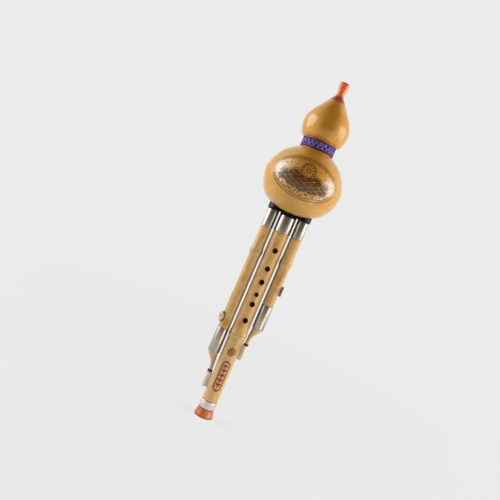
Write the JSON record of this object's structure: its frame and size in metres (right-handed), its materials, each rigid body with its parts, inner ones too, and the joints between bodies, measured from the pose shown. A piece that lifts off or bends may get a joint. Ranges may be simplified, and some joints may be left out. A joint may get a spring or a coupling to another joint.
{
  "type": "hulusi",
  "caption": "Gourd free-reed pipe: a hollow gourd with mouthpiece, a bamboo melody pipe with finger holes and a bell, and a drone pipe on each side with pull-off outlet caps.",
  "frame": {"origin": "centre of the bell's foot, on the melody pipe's axis", "axes": "+Z along the melody pipe towards the mouthpiece, -Y the side with the finger holes, +X towards the short drone"},
  "size_m": [0.0904, 0.0904, 0.4044],
  "materials": {
    "gourd": "lacquered gourd rind",
    "bamboo": "lacquered bamboo",
    "amber_resin": "polished amber resin",
    "black_resin": "polished",
    "chrome": "bright",
    "silver": "satin",
    "ribbon": "woven jacquard ribbon",
    "gold_lacquer": "gold lacquer on wood",
    "horn": "polished horn",
    "ivory_plastic": "satin",
    "rubber": "matte",
    "cork": "cork",
    "brass": "drawn"
  },
  "bodies": {
    "instrument": {"gourd_shell": "gourd", "waist_band": "ribbon", "mouthpiece": "amber_resin", "mouthpiece_sleeve": "cork", "base_plate": "black_resin", "base_gasket": "rubber", "main_pipe": "bamboo", "main_upper_ferrule": "chrome", "bell_ferrule": "silver", "bell": "amber_resin", "main_reed_tube": "brass", "main_reed_plate": "brass", "main_reed_plug": "black_resin", "long_drone_pipe": "bamboo", "long_drone_upper_ferrule": "chrome", "long_drone_lower_ferrule": "chrome", "long_drone_eyelet": "horn", "long_drone_nozzle": "gold_lacquer", "long_drone_seal_ring": "rubber", "long_drone_reed_tube": "brass", "long_drone_reed_plate": "brass", "long_drone_reed_plug": "black_resin", "short_drone_pipe": "bamboo", "short_drone_upper_ferrule": "chrome", "short_drone_lower_ferrule": "chrome", "short_drone_eyelet": "horn", "short_drone_nozzle": "gold_lacquer", "short_drone_seal_ring": "rubber", "short_drone_reed_tube": "brass", "short_drone_reed_plate": "brass", "short_drone_reed_plug": "black_resin"},
    "long_cap": {"long_drone_cap": "ivory_plastic"},
    "short_cap": {"short_drone_cap": "ivory_plastic"}
  },
  "joints": [
    {"name": "long_cap_pull", "type": "slide", "parent": "instrument", "child": "long_cap", "axis": [0, 0, -1], "range_m": [0, 0.012]},
    {"name": "short_cap_pull", "type": "slide", "parent": "instrument", "child": "short_cap", "axis": [0, 0, -1], "range_m": [0, 0.012]}
  ]
}
